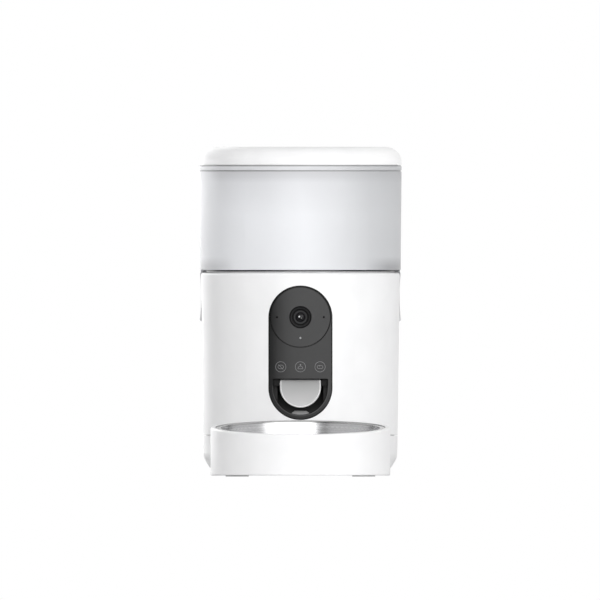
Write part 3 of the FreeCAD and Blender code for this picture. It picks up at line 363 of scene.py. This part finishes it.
def lens_hood(name):
    """Stepped black baffle rings round the lens, with painted light making two of its turned steps
    a little lighter.
    """
    finish = Finish(name, (0.004, 0.004, 0.0045), 0.5, Specular_IOR_Level=0.12)
    radius = finish.from_line(0.0, LENS_Z)
    # Painted light: two steps that face the front are painted a little lighter
    for low, high, level in ((8.2, 9.6, 0.016), (5.0, 6.4, 0.036)):
        ring = finish.between(radius, low * MM, high * MM)
        finish.overlay(ring, (level, level, level * 1.03))
    groove_pitch = 0.5 * MM
    finish.bump(finish.maths("SINE", finish.times(radius, 2 * math.pi / groove_pitch)), 0.02 * MM)
    return finish


def lens_glass(name):
    """A coated front element: a dark pupil, with two pale spots of painted highlight that stand in
    for glints.
    """
    finish = Finish(name, (0.004, 0.004, 0.005), 0.05, Specular_IOR_Level=0.2)
    # Painted highlights: two pale spots stand in for glints of light
    for dx, dz, radius, level in ((-1.1, 0.5, 0.7, 0.8), (0.95, -0.95, 0.55, 0.2)):
        away = finish.from_line(dx * MM, LENS_Z + dz * MM)
        finish.overlay(finish.fall(away, (radius - 0.3) * MM, (radius + 0.3) * MM), grey(level))
    iris = finish.between(finish.from_line(0.0, LENS_Z), 4.3 * MM, 5.2 * MM, 0.2 * MM)
    finish.overlay(iris, (0.03, 0.03, 0.032))
    return finish


def seamed_white(name):
    """White housing with the shade of the seam between base and body."""
    finish = white_housing(name)
    seam = finish.between(finish.axes()[2], 39.05 * MM, 40.05 * MM, 0.1 * MM)
    finish.overlay(seam, grey(0.6))
    return finish


def shell_white(name):
    """The body shell, with painted shade in its recess, which shows through the gap round the
    camera end.
    """
    finish = seamed_white(name)
    x, y, z = finish.axes()
    from_axis = finish.length(x, finish.maths("SUBTRACT", y, FRONT_AXIS_Y))
    unleaned = finish.maths("SUBTRACT", from_axis, finish.times(z, WALL_LEAN))
    sides = finish.between(x, -31 * MM, 31 * MM)
    heights = finish.between(z, 53 * MM, 184 * MM)
    front = finish.fall(y, 30 * MM, 31 * MM)
    sunk = finish.fall(unleaned, 101.2 * MM, 101.6 * MM)
    # Painted shade: the wall is painted near black where it lies sunk behind the panel
    finish.overlay(finish.times(sides, heights, front, sunk), grey(0.008))
    return finish


def deck_white(name):
    """The deck, with the shade of the gap under the hopper, palest in the middle of the front."""
    finish = white_housing(name)
    x, _, z = finish.axes()
    to_sides = finish.rise(finish.maths("ABSOLUTE", x), 12 * MM, 45 * MM)
    shade = finish.mix(to_sides, grey(0.1), grey(0.01))
    finish.overlay(finish.rise(z, 195.9 * MM, 196.0 * MM), shade)
    return finish


def lid_white(name):
    """The lid, with painted light making its right-hand end a little whiter."""
    finish = white_housing(name)
    # Painted light: whiter towards the right-hand end
    finish.overlay(finish.rise(finish.axes()[0], 45 * MM, 92 * MM), grey(0.98))
    return finish


def latch_white(name):
    """A latch whose narrow front edge is painted darker, as painted shade."""
    finish = white_housing(name)
    # Painted shade on the faces that look to the front
    front_edge_shade = finish.fall(finish.axes(finish.normal())[1], -0.8, -0.6)
    finish.overlay(front_edge_shade, (0.57, 0.57, 0.58))
    return finish


def outlet_ramp(name):
    """The ramp under the flap, with painted light making its slope, which faces up, paler than its
    front edge.
    """
    finish = moulded(name, (0.27, 0.27, 0.274), 0.4)
    finish.overlay(0.5, grey(0.12))
    # Painted light: the slope, which faces up, is painted paler
    finish.overlay(finish.fall(facing_out(finish), 0.7, 0.95), grey(0.42))
    return finish


def chute_black(name):
    """Black chute, painted paler deeper in, as painted light against the dark of its depth."""
    finish = moulded(name, grey(0.008), 0.5, depth=0.02 * MM, Specular_IOR_Level=0.12)
    # Painted light: paler deeper in the chute
    finish.overlay(finish.rise(finish.axes()[1], 11.5 * MM, 17 * MM), grey(0.035))
    return finish


def grey_flap(name):
    """Moulded flap, with painted shade that pales towards its foot, and a painted highlight on the
    rim round its sides and foot.
    """
    finish = Finish(name, grey(0.42), 0.38)
    low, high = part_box("flap")
    half = (high.x - low.x) / 2
    round_z = low.z + half
    x, _, z = finish.axes()
    # Painted shade: darker towards the top, paler at the foot
    foot = finish.fall(z, low.z, high.z)
    finish.paint(finish.mix(foot, grey(0.29), grey(0.55)))
    finish.overlay(finish.remap(finish.noise(30 * MM, 3.0), 0.0, 0.08), grey(0.3))
    # Painted highlight on the rim round the sides and foot
    rim = (half - 1.5 * MM, half - 1.1 * MM)
    side_rim_highlight = finish.rise(finish.maths("ABSOLUTE", x), *rim)
    round_rim_highlight = finish.times(finish.rise(finish.from_line(0.0, round_z), *rim),
                             finish.fall(z, round_z - 0.1 * MM, round_z + 0.1 * MM))
    finish.overlay(finish.maths("MAXIMUM", round_rim_highlight, side_rim_highlight),
                   finish.mix(foot, grey(0.76), grey(0.97)))
    finish.grained()
    return finish


def about_bowl(finish):
    """Distance from the bowl's axis, and height over the bowl's rim."""
    x, y, z = finish.axes(finish.mapped(shift=tuple(RIM_CENTRE), turn=(BOWL_TILT, 0, 0)))
    return finish.length(x, y), z


def tray_white(name):
    """The bowl tray, with shade in the narrow gap between its ring and the bowl's rim."""
    finish = white_housing(name)
    away, z = about_bowl(finish)
    gap = finish.times(finish.between(away, 80.5 * MM, 81.4 * MM),
                       finish.between(z, -0.6 * MM, 0.9 * MM))
    finish.overlay(gap, grey(0.42))
    return finish


def spun_steel(name):
    """Stainless bowl, spun on a lathe: rings round its own axis, and painted shade on its rolled
    edge.
    """
    finish = Finish(name, (0.66, 0.66, 0.67), 0.2, Metallic=1.0)
    away, z = about_bowl(finish)
    rings = finish.noise(1.2 * MM, 3.0, finish.flat_vector(away, z))
    steel = finish.mix(finish.remap(rings, 0.0, 1.0), (0.60, 0.60, 0.61), (0.70, 0.70, 0.71))
    finish.paint(steel)
    # Painted shade on the rolled edge, darkest across the middle
    to_sides = finish.rise(finish.maths("ABSOLUTE", finish.axes()[0]), 28 * MM, 50 * MM)
    rolled = finish.mix(to_sides, grey(0.3), grey(0.55))
    finish.overlay(finish.rise(z, -1.3 * MM, -1.0 * MM), rolled)
    finish.gloss(finish.remap(rings, 0.21, 0.29))
    finish.bump(rings, 0.0015 * MM)
    return finish


def circuit(name, turn=0.0, parts_from=None):
    """Solder mask with tracks, and black parts from a height up."""
    finish = Finish(name, (0.02, 0.14, 0.06), 0.4)
    tracks = finish.node("ShaderNodeTexBrick", offset=0.5)
    tracks.inputs["Scale"].default_value = 1.0
    tracks.inputs["Brick Width"].default_value = 9 * MM
    tracks.inputs["Row Height"].default_value = 1.6 * MM
    tracks.inputs["Mortar Size"].default_value = 0.2 * MM
    tracks.inputs["Color1"].default_value = (0.018, 0.13, 0.055, 1)
    tracks.inputs["Color2"].default_value = (0.022, 0.16, 0.07, 1)
    tracks.inputs["Mortar"].default_value = (0.05, 0.26, 0.12, 1)
    finish.link(finish.mapped(turn=(turn, 0, 0)), tracks.inputs["Vector"])
    finish.paint(tracks.outputs["Color"])
    if parts_from is not None:
        part = finish.rise(finish.axes()[2], parts_from, parts_from + 0.1 * MM)
        finish.overlay(part, (0.018, 0.018, 0.02))
    finish.bump(tracks.outputs["Fac"], 0.03 * MM)
    return finish


def two_zone(name, first, second, axis, split, roughness, metallic=0.0):
    """One moulding or assembly whose finish changes at a plane."""
    finish = Finish(name, first, roughness, Metallic=metallic)
    finish.patterned(finish.noise(0.6 * MM, 3.0), shade=0.9)
    along = finish.axes()["XYZ".index(axis)]
    finish.overlay(finish.rise(along, split - 0.05 * MM, split + 0.05 * MM), second)
    return finish


# Planes where a finish changes: under the board's screw heads, behind the speaker's cone
# and over the motor's terminals
SCREW_HEAD = 1.8 * MM
MAGNET_LENGTH = 6.6 * MM
TERMINAL_LENGTH = 4.0 * MM
board_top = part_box("board_screws")[1].z - SCREW_HEAD
cone_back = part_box("speaker")[0].y + MAGNET_LENGTH
can_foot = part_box("drive_motor")[0].z + TERMINAL_LENGTH

# One finish for each of the record's material slots
FINISHES = {finish.name: finish for finish in (
    white_housing("white_plastic"),
    moulded("inner_plastic", (0.78, 0.78, 0.775), 0.45),
    chute_black("black_plastic"),
    outlet_ramp("dark_grey_plastic"),
    edged(polished("panel_gloss", (0.011, 0.011, 0.0114), 0.34), seam=(28.9, 29.4)),
    edged(polished("camera_gloss", (0.0115, 0.0115, 0.012), 0.32), seam=(28.4, 28.9)),
    lens_hood("lens_black"),
    lens_glass("lens_glass"),
    circuit("circuit_board", parts_from=board_top),
    moulded("light_pipe", (0.4, 0.41, 0.42), 0.2, Transmission_Weight=0.3),
    moulded("gear_case_plastic", grey(0.42), 0.5),
    metal("bush_brass", (0.74, 0.52, 0.22), 0.28, lines=(0.05, 0.05, 1)),
    metal("screw_steel", (0.58, 0.58, 0.57), 0.3, lines=(0.1, 0.1, 1), size=0.3 * MM),
    metal("pin_steel", grey(0.66), 0.22),
    metal("pin_black", (0.035, 0.035, 0.037), 0.4),
    metal("spring_steel", (0.72, 0.71, 0.67), 0.3),
    two_zone("motor_steel", (0.66, 0.5, 0.25), grey(0.6), "Z", can_foot, 0.32, metallic=1.0),
    metal("inlet_steel", grey(0.68), 0.25),
    two_zone("speaker_black", grey(0.3), grey(0.015), "Y", cone_back, 0.5),
    frosted("frosted_plastic"),
    moulded("wheel_plastic", grey(0.6), 0.42),
    rubber("soft_rubber", grey(0.55), 0.6),
    moulded("gear_plastic", (0.80, 0.77, 0.70), 0.35,
            Subsurface_Weight=0.15, Subsurface_Scale=1 * MM),
    grey_flap("flap_grey"),
    rubber("grey_rubber", grey(0.3)),
    spun_steel("bowl_steel"),
)}

# Nodes whose finish is their own
latch_finish = latch_white("latch_white")
upright_circuit = circuit("camera_circuit", turn=math.radians(90))
OWN_FINISHES = {
    "latch_left": latch_finish,
    "latch_right": latch_finish,
    "camera_board": upright_circuit,
    "touch_board": upright_circuit,
    "base": seamed_white("seamed_white"),
    "body_shell": shell_white("shell_white"),
    "body_deck": deck_white("deck_white"),
    "bowl_tray": tray_white("tray_white"),
    "lid": lid_white("lid_white"),
    "reset_button": moulded("button_grey", (0.36, 0.36, 0.37), 0.45),
}
for name, node in NODES.items():
    slot = node.material_slots[0]
    finish = OWN_FINISHES.get(name) or FINISHES[slot.material.name.split(".")[0]]
    slot.material = finish.material


def add_object(name, data):
    made = bpy.data.objects.new(name, data)
    bpy.context.scene.collection.objects.link(made)
    return made


# Printed touch marks on the panel
class Skin:
    """The front of a CAD node, found by looking along +Y."""

    def __init__(self, node):
        mesh = NODES[node].data
        corners = [v.co for v in mesh.vertices]
        self.tree = BVHTree.FromPolygons(corners, [p.vertices for p in mesh.polygons])

    def y(self, x, z):
        return self.tree.ray_cast(Vector((x, -1.0, z)), Vector((0, 1, 0)))[0].y


PANEL = Skin("front_panel")
INK_PROUD = 0.05 * MM
INK_SUNK = 0.1 * MM
STROKE = 0.38 * MM


def circle(steps):
    """Cosines and sines at even steps round a circle."""
    angles = [2 * math.pi * index / steps for index in range(steps)]
    return [(math.cos(a), math.sin(a)) for a in angles]


def arc(cx, cz, radius, start, end, steps, squash=1.0):
    """Points (x, z) on an arc, or on an oval's arc, by angles in degrees."""
    angles = [math.radians(start + (end - start) * i / steps) for i in range(steps + 1)]
    return [(cx + radius * math.cos(a), cz + radius * squash * math.sin(a)) for a in angles]


def oval(cx, cz, radius, steps, squash=1.0):
    return arc(cx, cz, radius, 0, 360, steps, squash)[:-1]


def strip(bm, points, closed):
    """A printed line along points (x, z), as a thin solid strip that follows the panel."""
    rows = []
    count = len(points)
    for index, (x, z) in enumerate(points):
        ahead = points[(index + 1) % count] if closed or index < count - 1 else (x, z)
        behind = points[index - 1] if closed or index > 0 else (x, z)
        along = Vector((ahead[0] - behind[0], ahead[1] - behind[1])).normalized()
        side = Vector((-along.y, along.x)) * STROKE / 2
        left = (x + side.x, z + side.y)
        right = (x - side.x, z - side.y)
        corners = ((left, -INK_PROUD), (right, -INK_PROUD), (right, INK_SUNK), (left, INK_SUNK))
        rows.append([bm.verts.new((px, PANEL.y(px, pz) + shift, pz))
                     for (px, pz), shift in corners])
    following = rows[1:] + rows[:1] if closed else rows[1:]
    for first, second in zip(rows, following):
        for a, b in ((0, 1), (1, 2), (2, 3), (3, 0)):
            bm.faces.new((first[a], first[b], second[b], second[a]))
    if not closed:
        bm.faces.new(rows[0])
        bm.faces.new(list(reversed(rows[-1])))


def spot(bm, cx, cz, radius_x, radius_z):
    """A printed oval, filled."""
    steps = 20
    front, back = [], []
    for cosine, sine in circle(steps):
        x, z = cx + radius_x * cosine, cz + radius_z * sine
        y = PANEL.y(x, z)
        front.append(bm.verts.new((x, y - INK_PROUD, z)))
        back.append(bm.verts.new((x, y + INK_SUNK, z)))
    bm.faces.new(front)
    bm.faces.new(list(reversed(back)))
    for index in range(steps):
        following = (index + 1) % steps
        bm.faces.new((front[index], back[index], back[following], front[following]))


def key_ring(cx):
    bm = bmesh.new()
    strip(bm, oval(cx, KEY_Z, KEY_RADIUS, 48), closed=True)
    return bm


def privacy_key(cx):
    """An eye with a stroke through it."""
    bm = key_ring(cx)
    eye_z = KEY_Z - 0.1 * MM
    reach = 2.4 * MM
    strip(bm, oval(cx, eye_z, 2.7 * MM, 28, squash=0.66), closed=True)
    strip(bm, [(cx - reach, eye_z + reach), (cx, eye_z), (cx + reach, eye_z - reach)], closed=False)
    return bm


def feed_key(cx):
    """A serving dome with its knob."""
    bm = key_ring(cx)
    spot(bm, cx, KEY_Z + 1.9 * MM, 0.7 * MM, 0.8 * MM)
    strip(bm, arc(cx, KEY_Z - 1.9 * MM, 2.4 * MM, 0, 180, 18, squash=1.05), closed=True)
    return bm


def repeat_key(cx):
    """A rounded loop with one inner stroke."""
    bm = key_ring(cx)
    loop_z = KEY_Z - 0.2 * MM
    left = arc(cx - 1.2 * MM, loop_z, 1.5 * MM, 90, 270, 12)
    right = arc(cx + 1.2 * MM, loop_z, 1.5 * MM, -90, 90, 12)
    strip(bm, left + right, closed=True)
    inner = [(cx + 0.2 * MM, loop_z + 1.5 * MM), (cx - 0.7 * MM, loop_z + 0.6 * MM)]
    strip(bm, inner, closed=False)
    return bm


def piece(name, bm, finish, body):
    """Turns a bmesh into a piece of the object that rides on a body."""
    bmesh.ops.recalc_face_normals(bm, faces=bm.faces)
    mesh = bpy.data.meshes.new(name)
    bm.to_mesh(mesh)
    bm.free()
    made = add_object(name, mesh)
    mesh.materials.append(finish.material)
    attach(made, body)


ink = Finish("key_print", (0.185, 0.185, 0.19), 0.45)
ink.mottle(0.08, 0.6 * MM)
ink.worn(0.06, 1 * MM)
piece("privacy_key_print", privacy_key(-KEY_SPACING), ink, "body")
piece("feed_key_print", feed_key(0.0), ink, "body")
piece("repeat_key_print", repeat_key(KEY_SPACING), ink, "body")

# Small dark windows in the camera disc's two side holes
DISC = Skin("camera_disc")
WINDOW_RADIUS = 0.66 * MM
WINDOW_SUNK = 0.3 * MM
BESIDE_HOLE = 1.4 * MM
# Share of the radius, and depth, from near the tip to the back
WINDOW_OUTLINE = ((0.6, 0.02 * MM), (1.0, 0.12 * MM), (1.0, 1.3 * MM))


def sight_window(x):
    """A slightly domed plug, sunk a little below the disc's face beside its hole."""
    steps = 20
    face = (DISC.y(x + BESIDE_HOLE, LENS_Z) + DISC.y(x - BESIDE_HOLE, LENS_Z)) / 2 + WINDOW_SUNK
    bm = bmesh.new()
    rows = []
    for share, depth in WINDOW_OUTLINE:
        radius = WINDOW_RADIUS * share
        rows.append([bm.verts.new((x + radius * cosine, face + depth, LENS_Z + radius * sine))
                     for cosine, sine in circle(steps)])
    tip = bm.verts.new((x, face, LENS_Z))
    for index in range(steps):
        following = (index + 1) % steps
        bm.faces.new((tip, rows[0][index], rows[0][following]))
        for first, second in zip(rows, rows[1:]):
            bm.faces.new((first[index], second[index], second[following], first[following]))
    bm.faces.new(rows[-1])
    return bm


window = Finish("sight_window", (0.006, 0.005, 0.006), 0.2, Metallic=1.0)
window.mottle(0.3, 0.3 * MM)
piece("sight_window_left", sight_window(-SIGHT_SPACING), window, "body")
piece("sight_window_right", sight_window(SIGHT_SPACING), window, "body")


# Floor, world and lamps
def glow(tree, kind, strength=1.0):
    """White light from an emission or background node."""
    made = tree.nodes.new(kind)
    made.inputs["Color"].default_value = (1, 1, 1, 1)
    made.inputs["Strength"].default_value = strength
    return made.outputs[0]


def light_path(tree):
    """1 for rays that show the background: from the camera, a reflection or through glass."""
    path = tree.nodes.new("ShaderNodeLightPath")
    total = path.outputs["Is Camera Ray"]
    for name in ("Is Glossy Ray", "Is Transmission Ray"):
        larger = tree.nodes.new("ShaderNodeMath")
        larger.operation = "MAXIMUM"
        tree.links.new(total, larger.inputs[0])
        tree.links.new(path.outputs[name], larger.inputs[1])
        total = larger.outputs["Value"]
    return total


def mix_shaders(tree, share, first, second, surface):
    mixed = tree.nodes.new("ShaderNodeMixShader")
    tree.links.new(share, mixed.inputs["Fac"])
    tree.links.new(first, mixed.inputs[1])
    tree.links.new(second, mixed.inputs[2])
    tree.links.new(mixed.outputs["Shader"], surface)


def make_world(ambient):
    """A world that shows white and lights the object at a plain level."""
    world = bpy.data.worlds.new("studio")
    bpy.context.scene.world = world
    world.use_nodes = True
    tree = world.node_tree
    tree.nodes.clear()
    output = tree.nodes.new("ShaderNodeOutputWorld")
    lit = glow(tree, "ShaderNodeBackground", ambient)
    shown = glow(tree, "ShaderNodeBackground")
    mix_shaders(tree, light_path(tree), lit, shown, output.inputs["Surface"])


def make_floor():
    """A white sheet that keeps the object's shadow and fades to the background's white."""
    half = 6.0
    mesh = bpy.data.meshes.new("floor")
    corners = [(-half, -half, 0), (half, -half, 0), (half, half, 0), (-half, half, 0)]
    mesh.from_pydata(corners, [], [(0, 1, 2, 3)])
    floor = add_object("floor", mesh)
    finish = Finish("floor_paper", grey(0.9), 0.9)
    x, y, _ = finish.axes()
    far = finish.rise(finish.length(x, y), 0.25, 0.8)
    seen = finish.times(far, light_path(finish.tree))
    white = glow(finish.tree, "ShaderNodeEmission")
    paper = finish.shader.outputs["BSDF"]
    mix_shaders(finish.tree, seen, paper, white, finish.output.inputs["Surface"])
    mesh.materials.append(finish.material)


SUBJECT = Vector((0.0, 0.05, 0.17))


def softbox(name, azimuth, elevation, distance, width, height, radiance):
    """An area lamp aimed at the object. Azimuth 0 is in front and 90 to the right."""
    a, e = math.radians(azimuth), math.radians(elevation)
    towards = Vector((math.sin(a) * math.cos(e), -math.cos(a) * math.cos(e), math.sin(e)))
    lamp = bpy.data.lights.new(name, "AREA")
    lamp.shape = "RECTANGLE"
    lamp.size = width
    lamp.size_y = height
    lamp.energy = radiance * math.pi * width * height
    made = add_object(name, lamp)
    made.location = SUBJECT + towards * distance
    made.rotation_mode = "QUATERNION"
    made.rotation_quaternion = (-towards).to_track_quat("-Z", "Y")
    made.visible_camera = False


def card(name, azimuths, heights, radiance, distance=1.1):
    """A curved grey card that only reflections see, as a studio flag beside the object."""
    steps = 12
    mesh = bpy.data.meshes.new(name)
    corners, faces = [], []
    for index in range(steps + 1):
        a = math.radians(azimuths[0] + (azimuths[1] - azimuths[0]) * index / steps)
        x, y = SUBJECT.x + distance * math.sin(a), SUBJECT.y - distance * math.cos(a)
        corners += [(x, y, height) for height in heights]
    for index in range(steps):
        faces.append((2 * index, 2 * index + 1, 2 * index + 3, 2 * index + 2))
    mesh.from_pydata(corners, [], faces)
    made = add_object(name, mesh)
    paper = bpy.data.materials.new(name)
    paper.use_nodes = True
    tree = paper.node_tree
    tree.nodes.clear()
    output = tree.nodes.new("ShaderNodeOutputMaterial")
    tree.links.new(glow(tree, "ShaderNodeEmission", radiance), output.inputs["Surface"])
    mesh.materials.append(paper)
    for ray in ("camera", "diffuse", "transmission", "volume_scatter", "shadow"):
        setattr(made, "visible_" + ray, False)


make_world(ambient=0.42)
make_floor()
softbox("key", azimuth=10, elevation=8, distance=2.4, width=2.77, height=2.4, radiance=2.5)
softbox("right", azimuth=52, elevation=8, distance=2.2, width=1.2, height=2.0, radiance=1.1)
softbox("top", azimuth=0, elevation=80, distance=2.0, width=1.85, height=1.54, radiance=0.62)
softbox("back_left", azimuth=-150, elevation=10, distance=2.0, width=1.5, height=2.0, radiance=1.5)
card("card_left_dark", azimuths=(-22, -38), heights=(0.0, 0.5), radiance=0.15)
card("card_left_low", azimuths=(-38, -115), heights=(0.0, 0.5), radiance=0.6)
card("card_left_high", azimuths=(-22, -115), heights=(0.5, 2.2), radiance=0.95)
card("card_right", azimuths=(50, 115), heights=(0.0, 2.2), radiance=0.6)
card("card_hopper_rim", azimuths=(-105, -172), heights=(0.24, 0.41), radiance=3.0, distance=0.5)

camera = bpy.data.cameras.new("camera")
camera.type = "ORTHO"
camera.ortho_scale = VIEW_SPAN
viewer = add_object("camera", camera)
viewer.location = (CAMERA_X, -CAMERA_DISTANCE, CAMERA_Z)
viewer.rotation_euler = (math.radians(90), 0, 0)
bpy.context.scene.camera = viewer
bpy.context.scene.view_settings.view_transform = "Standard"
